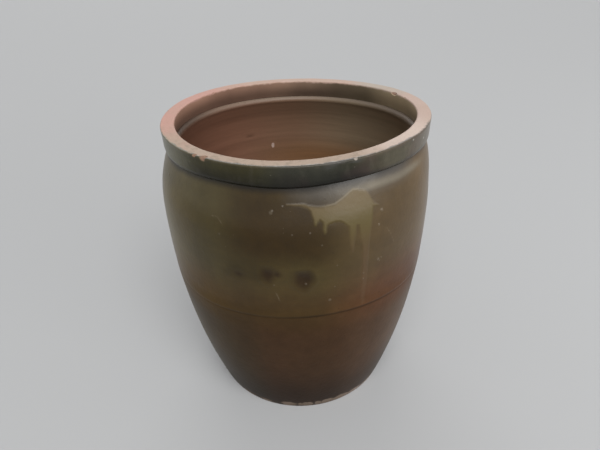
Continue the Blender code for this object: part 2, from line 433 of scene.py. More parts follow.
class JarFinish(bpy.types.PropertyGroup):
    """Colours of the glaze and of the bare clay."""

    olive: tone("Olive glaze", "Thick glaze on the upper wall", (0.057, 0.042, 0.0125))
    dark_olive: tone("Dark glaze", "Darkest part of the upper wall", (0.0265, 0.0145, 0.0024))
    warm: tone("Warm glaze", "Browner side of the upper wall", (0.075, 0.0480, 0.0210))
    rust: tone("Rust glaze", "Thin reddish glaze near the seam", (0.079, 0.0335, 0.0145))
    foot_brown: tone("Foot glaze", "Red-brown glaze of the lower wall", (0.0465, 0.0242, 0.0116))
    run: tone("Glaze run", "Paler glaze that ran from the shoulder", (0.130, 0.094, 0.046))
    collar: tone("Collar glaze", "Green-black glaze on the collar's face", (0.022, 0.0195, 0.0095))
    inside: tone("Inner glaze", "Brown glaze inside the jar", (0.222, 0.128, 0.080))
    clay: tone("Bare clay", "Unglazed clay on the rim and the foot", (0.395, 0.306, 0.240))
    chip: tone("Chipped clay", "Fresh clay in a chip", (0.30, 0.180, 0.125))


def smooth_step(low, high, values):
    """Smooth ramp from 0 at low to 1 at high."""
    share = np.clip((values - low) / (high - low), 0.0, 1.0)
    return share * share * (3.0 - 2.0 * share)


def fall_off(values, reach):
    """1 at zero and below, falling smoothly to 0 at a reach."""
    return 1 - smooth_step(0.0, reach, values)


def swell(heights, top, top_height, foot):
    """Radius of a curve that leaves `foot` at the ground and stands upright at `top_height`."""
    return top - (top - foot) * np.clip(1.0 - heights / top_height, 0.0, None) ** FOOT_CURVE_POWER


def draw_in(heights, start, start_height, end, end_height):
    """Radius of a shoulder that leaves `start` upright and closes to `end` at `end_height`."""
    rise = np.clip((heights - start_height) / (end_height - start_height), 0.0, 1.0)
    return start - (start - end) * rise ** SHOULDER_CURVE_POWER


def ledge_foot(shape):
    """Radius and height where the inside of the wall meets the ledge's roll."""
    corner = shape.rim_radius - RIM_WIDTH + RIM_UNDERCUT
    roll_height = shape.height - LEDGE_DEPTH - LEDGE_ROLL_RADIUS
    radius = corner - LEDGE_ROLL_RADIUS * math.cos(LEDGE_TURN)
    return radius, roll_height - LEDGE_ROLL_RADIUS * math.sin(LEDGE_TURN)


def outer_radius(shape, heights):
    """Outside of the body at given heights."""
    heights = np.asarray(heights, float)
    belly = shape.neck_height - SHOULDER_HEIGHT
    low = swell(heights, shape.belly_radius, belly, FOOT_RADIUS)
    high = draw_in(heights, shape.belly_radius, belly, NECK_RADIUS, shape.neck_height)
    return np.where(heights <= belly, low, high)


def inner_radius(shape, heights):
    """Inside of the body at given heights."""
    heights = np.asarray(heights, float)
    belly = shape.neck_height - SHOULDER_HEIGHT
    radius = shape.belly_radius - WALL_THICKNESS
    low = swell(heights, radius, belly, FOOT_RADIUS - WALL_THICKNESS)
    high = draw_in(heights, radius, belly, *ledge_foot(shape))
    return np.where(heights <= belly, low, high)


def middle_radius(shape, heights):
    """Middle of the wall at given heights."""
    return (outer_radius(shape, heights) + inner_radius(shape, heights)) / 2


def arc(centre, radius, start, end, steps):
    """Outline points along a circle, from one angle in degrees to another."""
    angles = np.radians(np.linspace(start, end, steps + 1))
    across_by, up_by = radius * np.cos(angles), radius * np.sin(angles)
    return list(zip(centre[0] + across_by, centre[1] + up_by))


def spread(low, high, pitch):
    """Evenly spaced values from low to high, about a pitch apart."""
    return np.linspace(low, high, max(2, round(abs(high - low) / pitch) + 1))


def turn(name, outline, steps, closed=True):
    """Draw an outline by extruding one vertex, then turn it round the jar's axis into a solid."""
    bpy.ops.object.select_all(action="DESELECT")
    bpy.ops.mesh.primitive_plane_add(size=MM, location=(0, 0, 0))
    piece = bpy.context.object
    piece.name = piece.data.name = name
    bpy.ops.object.mode_set(mode="EDIT")
    bpy.ops.mesh.select_all(action="SELECT")
    bpy.ops.mesh.merge(type="CENTER")
    bpy.ops.transform.translate(value=(outline[0][0], 0, outline[0][1]))
    for here, there in zip(outline, outline[1:]):
        step = (there[0] - here[0], 0, there[1] - here[1])
        bpy.ops.mesh.extrude_region_move(TRANSFORM_OT_translate={"value": step})
    if closed:
        bpy.ops.object.mode_set(mode="OBJECT")
        for index in (0, len(outline) - 1):
            piece.data.vertices[index].select = True
        bpy.ops.object.mode_set(mode="EDIT")
        bpy.ops.mesh.edge_face_add()
    bpy.ops.object.mode_set(mode="OBJECT")
    turning = piece.modifiers.new("turning", "SCREW")
    turning.axis = "Z"
    turning.steps = turning.render_steps = steps
    turning.use_merge_vertices = True
    turning.merge_threshold = MERGE_DISTANCE
    bpy.ops.object.modifier_apply(modifier=turning.name)
    bpy.ops.object.mode_set(mode="EDIT")
    bpy.ops.mesh.select_all(action="SELECT")
    bpy.ops.mesh.remove_doubles(threshold=MERGE_DISTANCE)
    bpy.ops.mesh.normals_make_consistent(inside=False)
    bpy.ops.object.mode_set(mode="OBJECT")
    return piece


def points_of(piece):
    """Vertex positions of a piece as an array."""
    points = np.empty(len(piece.data.vertices) * 3)
    piece.data.vertices.foreach_get("co", points)
    return points.reshape(-1, 3)


def move_points(piece, points):
    """Put the vertices of a piece at new positions."""
    piece.data.vertices.foreach_set("co", points.ravel())
    piece.data.update()


def bearings(points):
    """Bearing of each point in degrees, 0 at the front and growing to the right."""
    return np.degrees(np.arctan2(points[:, 0], -points[:, 1]))


def radii(points):
    """Distance of each point from the jar's axis."""
    return np.hypot(points[:, 0], points[:, 1])


def turned_from(points, bearing):
    """Turn of each point from a bearing, from -180 to 180 degrees."""
    return (bearings(points) - bearing + 180.0) % 360.0 - 180.0


def across(points, bearing, radius):
    """Distance along the surface from a bearing, at a radius."""
    return np.radians(turned_from(points, bearing)) * radius


def gap_to(points, bearing, height, radius):
    """Distance along the surface from a place on the wall."""
    return np.hypot(across(points, bearing, radius), points[:, 2] - height)


def facing_share(points, bearing, half_turn, core):
    """1 where points face a bearing, falling smoothly to 0 at a half turn in degrees from it."""
    turned = np.cos(np.radians(bearings(points) - bearing))
    return smooth_step(math.cos(math.radians(half_turn)), math.cos(math.radians(core)), turned)


def pick(piece):
    """Select one piece alone and make it active."""
    bpy.ops.object.select_all(action="DESELECT")
    bpy.context.view_layer.objects.active = piece
    piece.select_set(True)


def refine(piece, keep, cuts=1):
    """Subdivide the faces whose centres a test accepts, for finer detail there."""
    pick(piece)
    centres = np.empty(len(piece.data.polygons) * 3)
    piece.data.polygons.foreach_get("center", centres)
    chosen = keep(centres.reshape(-1, 3))
    bpy.ops.object.mode_set(mode="EDIT")
    bpy.ops.mesh.select_mode(type="FACE")
    bpy.ops.mesh.select_all(action="DESELECT")
    bpy.ops.object.mode_set(mode="OBJECT")
    piece.data.polygons.foreach_set("select", chosen)
    bpy.ops.object.mode_set(mode="EDIT")
    bpy.ops.mesh.subdivide(number_cuts=cuts)
    bpy.ops.mesh.select_mode(type="VERT")
    bpy.ops.object.mode_set(mode="OBJECT")


def keep_all(piece, kept):
    """Store named numbers for each vertex, for the materials to read."""
    for name, values in kept.items():
        layer = piece.data.attributes.new(name, "FLOAT", "POINT")
        layer.data.foreach_set("value", np.asarray(values, np.float32))


def rim_lift(angles, radius):
    """Height of the rim's wave and tilt at angles round the jar."""
    wave = RIM_WAVE[0] * np.cos(2 * angles) + RIM_WAVE[1] * np.sin(2 * angles)
    return wave + RIM_TILT_SHARE * radius * np.cos(angles)


def warp_rim(shape, points):
    """Move points as the rim went out of true: nothing below the shoulder, all of it at the neck."""
    share = smooth_step(WARP_START, shape.neck_height, points[:, 2])
    angles = np.arctan2(points[:, 1], points[:, 0])
    radius = radii(points)
    oval = RIM_OVAL_SHARES[0] * np.cos(2 * angles) + RIM_OVAL_SHARES[1] * np.sin(2 * angles)
    oval += RIM_TRIANGLE_SHARE * np.sin(3 * angles)
    highest = rim_lift(np.linspace(-math.pi, math.pi, RIM_SAMPLES), shape.rim_radius).max()
    warped = points.copy()
    warped[:, 0] += share * (radius * oval * np.cos(angles) + RIM_SHIFT[0])
    warped[:, 1] += share * (radius * oval * np.sin(angles) + RIM_SHIFT[1])
    warped[:, 2] += share * (rim_lift(angles, radius) - highest)
    return warped


def joint_rise(points, lifts):
    """Rise of a wandering joint at the bearing of each point."""
    total = np.zeros(len(points))
    for bearing, half_turn, rise in lifts:
        total += rise * np.exp(-(turned_from(points, bearing) / half_turn) ** 2)
    return total


def warp_seam(shape, points):
    """Move points as the joint of the walls wanders up and down, fading out above and below it."""
    near = fall_off(np.abs(points[:, 2] - shape.seam_height), SEAM_REACH)
    warped = points.copy()
    warped[:, 2] += near * joint_rise(points, SEAM_LIFTS)
    return warped


def warp_neck(shape, points, outside):
    """Move the outside near the collar's foot as that joint rises and falls round the jar."""
    off = points[:, 2] - shape.neck_height
    near = fall_off(-off, NECK_REACH_DOWN) * fall_off(off, NECK_REACH_UP)
    warped = points.copy()
    warped[:, 2] += outside * near * joint_rise(points, NECK_LIFTS)
    return warped


def line_distance(points, line, radius):
    """Distance of points on the wall to a line through places on it."""
    along = np.radians(bearings(points)) * radius
    up = points[:, 2]
    corners = [(math.radians(bearing) * radius, height) for bearing, height in line]
    nearest = np.full(len(points), FAR)
    for (u0, v0), (u1, v1) in zip(corners, corners[1:]):
        step_u, step_v = u1 - u0, v1 - v0
        share = ((along - u0) * step_u + (up - v0) * step_v) / (step_u ** 2 + step_v ** 2)
        share = np.clip(share, 0.0, 1.0)
        gap = np.hypot(along - u0 - share * step_u, up - v0 - share * step_v)
        nearest = np.minimum(nearest, gap)
    return nearest


def outline_depth(points, outline, radius):
    """Distance of points on the wall to a closed outline, positive inside it."""
    along = np.radians(bearings(points)) * radius
    up = points[:, 2]
    corners = [(math.radians(bearing) * radius, height) for bearing, height in outline]
    inside = np.zeros(len(points), bool)
    for (u0, v0), (u1, v1) in zip(corners, corners[1:] + corners[:1]):
        if v0 != v1:
            crosses = (v0 > up) != (v1 > up)
            inside ^= crosses & (along < u0 + (up - v0) * (u1 - u0) / (v1 - v0))
    gap = line_distance(points, (*outline, outline[0]), radius)
    return np.where(inside, gap, -gap)


def spot(points, bearing, height, half_width, half_height, radius):
    """Distance from a spot on the wall, as a share of its size; its edge is slightly uneven."""
    off_u = across(points, bearing, radius) / half_width
    off_v = (points[:, 2] - height) / half_height
    angle = np.arctan2(off_v, off_u)
    wide, narrow = SPOT_UNEVENNESS
    uneven = 1 + wide * np.cos(3 * angle + bearing) + narrow * np.cos(5 * angle - bearing)
    return np.hypot(off_u, off_v) * uneven


def lumps(points, amount, seed):
    """Slow unevenness of a hand-made wall, from 0 to minus twice an amount."""
    chance = np.random.default_rng(seed)
    total = np.zeros(len(points))
    turns = np.radians(bearings(points))
    for count in LUMP_COUNTS:
        phase, drift = chance.uniform(0, 2 * math.pi, 2)
        climb = chance.uniform(*LUMP_RATES) * points[:, 2]
        total += np.cos(count * turns + phase + climb) * np.cos(climb + drift)
    return amount * (total / len(LUMP_COUNTS) - 1.0)


def push_out(points, amounts):
    """Move points away from the jar's axis."""
    radius = radii(points)
    scale = np.where(radius > 0, (radius + amounts) / np.maximum(radius, MM / 100), 1.0)
    moved = points.copy()
    moved[:, 0] *= scale
    moved[:, 1] *= scale
    return moved


def smooth_by_angle(piece, degrees):
    """Shade a piece smooth but for edges sharper than an angle."""
    pick(piece)
    bpy.ops.object.shade_smooth_by_angle(angle=math.radians(degrees))


def finish_piece(piece, node, material):
    """Give a piece its material and its place in the frame."""
    piece.data.materials.clear()
    piece.data.materials.append(material)
    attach(piece, "root")
    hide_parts(node)


class Wire:
    """A value in a node tree that Python expressions can combine."""

    def __init__(self, graph, socket):
        self.graph = graph
        self.socket = socket

    def combine(self, operation, other, swapped=False):
        """Math node on this value and another."""
        first, second = (other, self) if swapped else (self, other)
        return self.graph.node("ShaderNodeMath", {"operation": operation}, {0: first, 1: second})

    def __add__(self, other):
        return self.combine("ADD", other)

    __radd__ = __add__

    def __sub__(self, other):
        return self.combine("SUBTRACT", other)

    def __rsub__(self, other):
        return self.combine("SUBTRACT", other, swapped=True)

    def __mul__(self, other):
        return self.combine("MULTIPLY", other)

    __rmul__ = __mul__

    def __truediv__(self, other):
        return self.combine("DIVIDE", other)

    def __pow__(self, other):
        return self.combine("POWER", other)


class Graph:
    """Node tree of a material or of the world."""

    def __init__(self, owner):
        self.owner = owner
        owner.use_nodes = True
        self.tree = owner.node_tree
        self.tree.nodes.clear()

    def node(self, kind, settings, inputs, output=0):
        """Add a node: its settings first, then the values or wires of its sockets."""
        added = self.tree.nodes.new(kind)
        for key, value in settings.items():
            setattr(added, key, value)
        for key, value in inputs.items():
            if isinstance(value, Wire):
                self.tree.links.new(value.socket, added.inputs[key])
            else:
                added.inputs[key].default_value = value
        if output is None:
            return added
        return Wire(self, added.outputs[output])


class Coat(Graph):
    """Node tree of a glaze or of bare clay, which reads its place on the jar."""

    def __init__(self, name):
        super().__init__(bpy.data.materials.new(name))
        self.position = self.node("ShaderNodeTexCoord", {}, {}, "Object")
        self.parts = self.node("ShaderNodeSeparateXYZ", {}, {0: self.position}, None)

    def axis(self, letter):
        """Object coordinate along one axis."""
        return Wire(self, self.parts.outputs["XYZ".index(letter)])

    def radius(self):
        """Distance from the jar's axis."""
        return (self.axis("X") * self.axis("X") + self.axis("Y") * self.axis("Y")) ** 0.5

    def facing(self, bearing):
        """1 where the wall faces a bearing, 0 at right angles, -1 on the far side; 0 on the axis."""
        angle = math.radians(bearing)
        along = self.axis("X") * math.sin(angle) - self.axis("Y") * math.cos(angle)
        return along / self.radius().combine("MAXIMUM", CORE_RADIUS)

    def side(self, bearing, half_turn, core=0.0):
        """1 where the wall faces a bearing, falling smoothly to 0 at a half turn in degrees from it."""
        low, high = math.cos(math.radians(half_turn)), math.cos(math.radians(core))
        return self.step(self.facing(bearing), low, high)

    def step(self, value, low, high):
        """Smooth ramp of a value from 0 at low to 1 at high."""
        inputs = {"Value": value, "From Min": low, "From Max": high}
        return self.node("ShaderNodeMapRange", {"interpolation_type": "SMOOTHSTEP"}, inputs)

    def fall(self, value, low, high):
        """Smooth ramp of a value from 1 at low to 0 at high."""
        return 1 - self.step(value, low, high)

    def band(self, value, middle, half_width):
        """1 at the middle of a band, falling smoothly to 0 at its edges."""
        rise = self.step(value, middle - half_width, middle)
        return rise * self.fall(value, middle, middle + half_width)

    def noise(self, scale, detail=3.0, stretch=(1, 1, 1), offset=0.0, roughness=0.5):
        """Noise from 0 to 1 at a scale per metre, stretched along the axes."""
        vector = self.node("ShaderNodeMapping", {}, {"Vector": self.position, "Scale": stretch})
        inputs = {
            "Vector": vector, "W": offset, "Scale": scale, "Detail": detail, "Roughness": roughness,
        }
        return self.node("ShaderNodeTexNoise", {"noise_dimensions": "4D"}, inputs)

    def specks(self, scale, size, offset=0.0, share=1.0):
        """Round specks scattered over the surface, 1 at their middles; `share` of the cells hold one."""
        inputs = {0: self.position, 1: (offset,) * 3}
        vector = self.node("ShaderNodeVectorMath", {"operation": "ADD"}, inputs)
        cells = self.node("ShaderNodeTexVoronoi", {}, {"Vector": vector, "Scale": scale}, None)
        near = self.fall(Wire(self, cells.outputs["Distance"]), size * 0.5, size)
        chance = self.node("ShaderNodeSeparateColor", {}, {0: Wire(self, cells.outputs["Color"])}, 0)
        return near * self.step(chance, 1.0 - share, 1.0 - share + 0.02)

    def kept(self, name):
        """Number that the piece stores for each vertex."""
        return self.node("ShaderNodeAttribute", {"attribute_name": name}, {}, "Fac")

    def outside(self):
        """1 on the outside of a wall, 0 on its inside."""
        return self.step(self.kept("outside"), 0.4, 0.6)

    def mix(self, share, first, second):
        """Colour between two colours or wires."""
        inputs = {0: share}
        for key, value in ((6, first), (7, second)):
            inputs[key] = value if isinstance(value, Wire) else (*value, 1.0)
        return self.node("ShaderNodeMix", {"data_type": "RGBA"}, inputs, 2)

    def layers(self, colour, *tones):
        """Colour with tones laid over it in turn, each given as its share and the tone."""
        for share, laid in tones:
            colour = self.mix(share, colour, laid)
        return colour

    def sides(self, colour, tones):
        """Colour with tones laid over it on some sides of the jar."""
        for bearing, half_turn, core, share, laid in tones:
            colour = self.mix(self.side(bearing, half_turn, core) * share, colour, laid)
        return colour

    def tint(self, colour, factor):
        """Colour multiplied by a number wire."""
        inputs = {0: colour, "Scale": factor}
        return self.node("ShaderNodeVectorMath", {"operation": "SCALE"}, inputs)

    def bump(self, height, strength, distance, below=None):
        """Normal bent by a height, over an earlier bump where one is given."""
        inputs = {"Height": height, "Strength": strength, "Distance": distance}
        if below is not None:
            inputs["Normal"] = below
        return self.node("ShaderNodeBump", {}, inputs)

    def glaze(self, colour, roughness, normal, ior):
        """Shader of one glaze."""
        inputs = {"Base Color": colour, "Roughness": roughness, "Normal": normal, "IOR": ior}
        return self.node("ShaderNodeBsdfPrincipled", {}, inputs)

    def surface(self, colour, roughness, normal, body=None):
        """Glaze on the output; a body from 0 to 1 mixes a thin glaze with a full one."""
        shader = self.glaze(colour, roughness, normal, GLAZE_IOR)
        if body is not None:
            thin = self.glaze(colour, roughness, normal, THIN_GLAZE_IOR)
            shader = self.node("ShaderNodeMixShader", {}, {0: body, 1: thin, 2: shader})
        self.node("ShaderNodeOutputMaterial", {}, {"Surface": shader}, None)
        return self.owner


def clay_colour(coat, finish):
    """Bare fired clay: tan at the front, pinker to the sides, with clouds, fine grain and grit."""
    cloud = coat.step(coat.noise(16, 4), 0.42, 0.70)
    blush = coat.step(coat.noise(34, 3, offset=8.8), 0.52, 0.68) * coat.side(-110, 95)
    smoke = coat.step(coat.noise(85, 4, offset=4.6), 0.47, 0.66) * coat.side(-15, 70, 20)
    grit = coat.specks(520, 0.30, offset=0.3, share=0.09)
    colour = coat.sides(tuple(finish.clay), CLAY_SIDES)
    colour = coat.layers(colour, (cloud * 0.35, CLAY_CLOUD), (blush * 0.45, CLAY_BLUSH))
    colour = coat.tint(colour, 0.88 + 0.24 * coat.noise(420, 3))
    return coat.layers(colour, (smoke * 0.42, CLAY_SMOKE), (grit * 0.45, CLAY_GRIT))


def inner_glaze_colour(coat, finish):
    """Thin brown glaze inside, in faint throwing bands: redder on the left, olive on the right; painted
    shade under the ledge and a painted highlight on its roll.
    """
    bands = coat.noise(9, 3, stretch=(0.5, 0.5, 9.0))
    rings = coat.noise(9, 2, stretch=(0.25, 0.25, 20.0), offset=3.7)
    cloud = coat.step(coat.noise(6, 3, offset=2.0), 0.42, 0.68)
    height = coat.axis("Z")
    colour = coat.mix(cloud * 0.5, tuple(finish.inside), INSIDE_CLOUD)
    colour = coat.sides(colour, INSIDE_SIDES)
    low = coat.fall(height, 0.335, 0.385) * coat.side(150, 62)
    colour = coat.mix(low * 0.8, colour, INSIDE_LOW)
    streak = 0.60 + 0.52 * bands + 0.28 * rings
    # Painted shade: the top of the inner wall, under the ledge, is darkened
    colour = coat.tint(colour, streak * (1 - 0.22 * coat.step(height, 0.395, 0.450)))
    # Painted highlight: the roll's glaze is paled along its top, fading to the left and right
    roll = coat.mix(coat.side(-100, 80), LEDGE_GLAZE_AND_HIGHLIGHT, LEDGE_LEFT_GLAZE_AND_HIGHLIGHT)
    roll = coat.tint(roll, 1 - 0.52 * coat.side(-85, 50, 12) - 0.20 * coat.side(110, 60, 25))
    return coat.mix(coat.step(height, 0.456, 0.466), colour, roll)


def glaze_body(coat):
    """How full the glaze lies: full above the seam, thin below it."""
    return coat.step(coat.axis("Z"), 0.240, 0.345)


def seam_glaze(coat, finish):
    """Colour that both walls come to at the seam: warm brown, rusty on the right."""
    colour = coat.mix(coat.side(60, 56, 22), SEAM_BROWN, tuple(finish.rust))
    return coat.sides(colour, SEAM_SIDES)


def seam_line(coat):
    """Dark line where the walls meet, strongest at the front right and faint on the sides."""
    close = coat.fall(coat.kept("seam"), 0.0, 0.0034)
    uneven = 0.45 + 1.1 * coat.noise(14, 3, offset=6.4)
    return close * uneven * (0.08 + 0.24 * coat.side(5, 52, 25) + 0.30 * coat.side(18, 30, 8))


def outer_glaze(coat, finish):
    """Colour of the upper wall's glaze by bearing and height, before marks, with a painted sheen and a
    painted shadow under the collar.
    """
    height = coat.axis("Z")
    streaks = coat.noise(16, 4, stretch=(1, 1, 0.12), roughness=0.6)
    patch = coat.noise(22, 4, stretch=(1, 1, 0.7), offset=4.1)
    mottle = coat.noise(70, 4, offset=2.9)
    turned = coat.noise(11, 4, stretch=(1, 1, 7), offset=5.5)
    cloud = coat.step(coat.noise(7, 3, offset=1.3), 0.38, 0.62)
    shoulder = coat.step(height, 0.405, 0.442) * coat.side(-45, 45, 10)
    edge = height + 0.045 * (patch - 0.5)
    dark = coat.side(-5, 28, 5) * coat.step(edge, 0.328, 0.388)
    smudge = coat.side(-19, 13, 2) * coat.band(edge, 0.338, 0.034)
    drop = coat.kept("drop") + 0.004 * (patch - 0.5)
    # Painted sheen: a greyish band of reflected light under the collar, brightest to the right
    painted_sheen_below_collar = coat.fall(drop, 0.004, 0.030) * coat.side(26, 34, 10)
    sheen = coat.band(drop, 0.0125, 0.0075) * coat.side(40, 26, 6)
    low = coat.fall(height + 0.04 * (patch - 0.5), 0.283, 0.350)
    colour = coat.layers(
        tuple(finish.olive),
        (cloud * 0.55, WALL_CLOUD),
        (coat.side(-82, 43, 13), WALL_LEFT),
        (shoulder * 0.8, WALL_SHOULDER),
        (coat.side(-30, 16, 2) * 0.5, WALL_FRONT_LEFT),
        (dark * (1 - 0.15 * coat.step(edge, 0.430, 0.460)), tuple(finish.dark_olive)),
        (smudge * 0.7, WALL_SMUDGE),
        (coat.side(64, 58, 24), tuple(finish.warm)),
        (coat.side(88, 46, 15), WALL_RIGHT),
        (painted_sheen_below_collar * 0.78, WALL_PAINTED_SHEEN_BELOW_COLLAR),
        (sheen * 0.75, WALL_PAINTED_SHEEN),
        (low * 0.92, seam_glaze(coat, finish)),
    )
    # Painted shadow: the wall is darkened just under the collar, less so on the right
    painted_collar_shadow = 1 - coat.fall(drop, 0.0, 0.0095) * (0.72 - 0.35 * coat.side(75, 45, 15))
    colour = coat.tint(colour, (0.86 + 0.28 * turned) * (0.80 + 0.40 * mottle))
    return coat.tint(colour, painted_collar_shadow * (0.78 + 0.44 * streaks) * (0.78 + 0.44 * patch))


def run_share(coat):
    """1 where the pale run lies, 0 outside its ragged edge."""
    ragged = 0.0030 * (coat.noise(95, 4, offset=3.3) - 0.5)
    return coat.step(coat.kept("run") + ragged, -0.0024, 0.0036)


def run_layers(coat, finish, run, ripple):
    """Tones of the pale run and of its thick upper lip, each with its share; the lip's tone is a painted
    highlight.
    """
    height = coat.axis("Z")
    high = coat.step(height, 0.350, 0.412)
    thick = coat.noise(40, 3, stretch=(1, 1, 0.25), offset=6.0)
    colour = coat.mix(coat.step(height, 0.412, 0.446), RUN_AT_SHOULDER, tuple(finish.run))
    colour = coat.mix(1 - high, colour, RUN_LOW)
    # Painted highlight: a pale line along the lip, with a brighter painted glint near 22 degrees
    lip = coat.fall(coat.kept("lip") + 0.0008 * ripple, 0.0004, 0.0022)
    painted_glint = coat.step(coat.facing(22.0), 0.970, 0.999)
    return (
        (run * (0.42 + 0.43 * high) * (0.78 + 0.44 * thick), colour),
        (lip * (0.08 + 0.42 * painted_glint), RUN_LIP_HIGHLIGHT),
    )


def upper_wall_material(finish):
    """Glossy olive-brown glaze with the pale run, finger marks and warts; brown inside."""
    coat = Coat("upper_glaze")
    outside = coat.outside()
    ripple = coat.noise(150, 2, offset=0.7)
    uneven = ripple - 0.5
    run = run_share(coat)
    mark = coat.fall(coat.kept("finger") + 0.10 * uneven, 0.20, 1.22)
    wart = coat.step(coat.kept("wart") + 0.0006 * uneven, -0.0008, 0.0012)
    line = coat.fall(coat.kept("line") + 0.0008 * uneven, 0.0, 0.0016)
    outer = coat.layers(
        outer_glaze(coat, finish),
        *run_layers(coat, finish, run, ripple),
        (mark * 0.85, MARK_DARK),
        (wart * 0.24, WART_AND_GLINT_PALE),
        (line * 0.30, LINE_PALE),
        (coat.specks(300, 0.20, offset=0.11, share=0.03) * 0.35, WALL_PALE_SPECK),
        (coat.specks(210, 0.28, offset=0.51, share=0.04) * 0.4, WALL_BURNT_SPECK),
        (seam_line(coat), SEAM_DARK),
    )
    pit = coat.fall(coat.kept("pit") + 0.3 * uneven, 0.1, 1.2)
    fleck = coat.fall(coat.kept("fleck"), 0.65, 1.0)
    inner = coat.layers(
        inner_glaze_colour(coat, finish), (pit * 0.45, INSIDE_PIT), (fleck * 0.75, INSIDE_FLECK),
    )
    dull = coat.noise(7, 4, offset=8.0)
    roughness = 0.24 + 0.12 * dull + 0.05 * run + (1 - outside) * 0.12
    fine = coat.bump(coat.noise(700, 2, offset=1.1), 0.2, 0.0002)
    normal = coat.bump(ripple, 0.3, 0.0008, fine)
    return coat.surface(coat.mix(outside, inner, outer), roughness, normal, glaze_body(coat))


def foot_glaze(coat, finish):
    """Colour of the lower wall's glaze by bearing and height, with painted haze on its sides, painted
    shade towards the foot, its seam line and specks.
    """
    streaks = coat.noise(18, 4, stretch=(1, 1, 0.16), offset=2.0, roughness=0.6)
    patch = coat.noise(26, 4, offset=7.3)
    mottle = coat.noise(75, 4, offset=6.1)
    cloud = coat.step(coat.noise(8, 3, offset=5.0), 0.38, 0.62)
    colour = coat.mix(cloud * 0.6, tuple(finish.foot_brown), FOOT_CLOUD)
    colour = coat.sides(colour, FOOT_SIDES_AND_PAINTED_HAZE)
    top = coat.fall(coat.kept("seam") + 0.016 * (patch - 0.5), 0.0, 0.050)
    colour = coat.mix(top * 0.75, colour, seam_glaze(coat, finish))
    # Darker towards the foot: partly thinner glaze, partly painted shade where little light reaches
    thin = 0.44 + 0.56 * coat.step(coat.axis("Z"), 0.02, 0.165)
    colour = coat.tint(colour, thin * (0.80 + 0.40 * streaks) * (0.76 + 0.48 * patch))
    return coat.layers(
        coat.tint(colour, 0.80 + 0.40 * mottle),
        (seam_line(coat), SEAM_DARK),
        (coat.specks(260, 0.22, offset=0.21, share=0.03) * 0.30, FOOT_PALE_SPECK),
        (coat.specks(190, 0.28, offset=0.77, share=0.05) * 0.4, FOOT_BURNT_SPECK),
    )


def lower_wall_material(finish, name):
    """Thin red-brown glaze to the foot, with bare clay where the glaze crawled off the edge."""
    coat = Coat(name)
    outside = coat.outside()
    bare_depth = coat.kept("bare") + 0.0060 * (coat.noise(130, 5, offset=9.0) - 0.5)
    bare = coat.step(bare_depth, -0.0016, 0.0018) * outside
    clay = coat.tint(clay_colour(coat, finish), 0.48)
    outer = coat.mix(bare * 0.8, foot_glaze(coat, finish), clay)
    colour = coat.mix(outside, inner_glaze_colour(coat, finish), outer)
    dull = coat.noise(9, 4, offset=8.0)
    roughness = 0.32 + 0.12 * dull + bare * 0.35 + (1 - outside) * 0.12
    fine = coat.bump(coat.noise(650, 2, offset=1.1), 0.25, 0.0002)
    slow = coat.bump(coat.noise(130, 2, offset=0.4), 0.35, 0.0008, fine)
    normal = coat.bump(bare, 0.5, 0.0004, slow)
    return coat.surface(colour, roughness, normal, glaze_body(coat))


def collar_face(coat, finish, patch, ripple, worn):
    """Green-black glaze of the collar's face, paler and browner to both sides, darker towards its foot
    from glaze pooling and painted shade.
    """
    climb = coat.kept("climb")
    streak = coat.noise(36, 4, stretch=(0.6, 0.6, 3.0), offset=4.7)
    hue = coat.noise(17, 2, offset=9.4)
    cloud = coat.step(patch, 0.42, 0.66)
    face = coat.sides(coat.mix(cloud * 0.7, tuple(finish.collar), COLLAR_CLOUD), COLLAR_SIDES)
    right = coat.side(66, 46, 22)
    brownish = coat.mix(coat.step(hue, 0.42, 0.60), COLLAR_RIGHT_OLIVE, COLLAR_RIGHT_BROWN)
    scuff = coat.step(coat.noise(70, 4, stretch=(1, 1, 0.5), offset=6.6), 0.52, 0.74)
    glint = coat.side(18, 9, 1) * coat.step(climb, 0.45, 0.85)
    face = coat.layers(
        face,
        (coat.step(hue, 0.48, 0.60) * coat.side(20, 30, 6) * 0.8, COLLAR_BROWN),
        (coat.side(-80, 42, 15), COLLAR_LEFT),
        (right, brownish),
        (coat.side(94, 44, 14), COLLAR_FAR_RIGHT),
        (scuff * 0.32, COLLAR_SCUFF),
        (glint * coat.step(streak, 0.50, 0.66) * 0.30, COLLAR_GLINT),
        (coat.specks(240, 0.26, offset=0.4, share=0.03) * 0.45, COLLAR_PALE_SPECK),
        (worn * (0.25 + 0.45 * right), COLLAR_WORN),
    )
    sides = coat.side(60, 42, 15) + coat.side(-68, 34, 12)
    # Darker towards the foot of the face: partly glaze pooling, partly painted shade where it turns
    # under; weaker on the sides
    pooling_and_painted_shade = 0.12 + 1.02 * climb + 0.12 * (patch - 0.5)
    even = 0.45 + 0.55 * coat.step(climb, 0.05, 0.35)
    pooling_and_painted_shade = pooling_and_painted_shade * (1 - sides) + even * sides
    grain = coat.noise(120, 4, stretch=(1, 1, 0.4), offset=3.9, roughness=0.6)
    face = coat.tint(face, pooling_and_painted_shade * (0.62 + 0.76 * streak) * (0.66 + 0.68 * grain))
    speck = coat.fall(coat.kept("speck") + 0.6 * (ripple - 0.5), 0.5, 1.3)
    return coat.mix(speck * 0.8, face, COLLAR_SPECK)


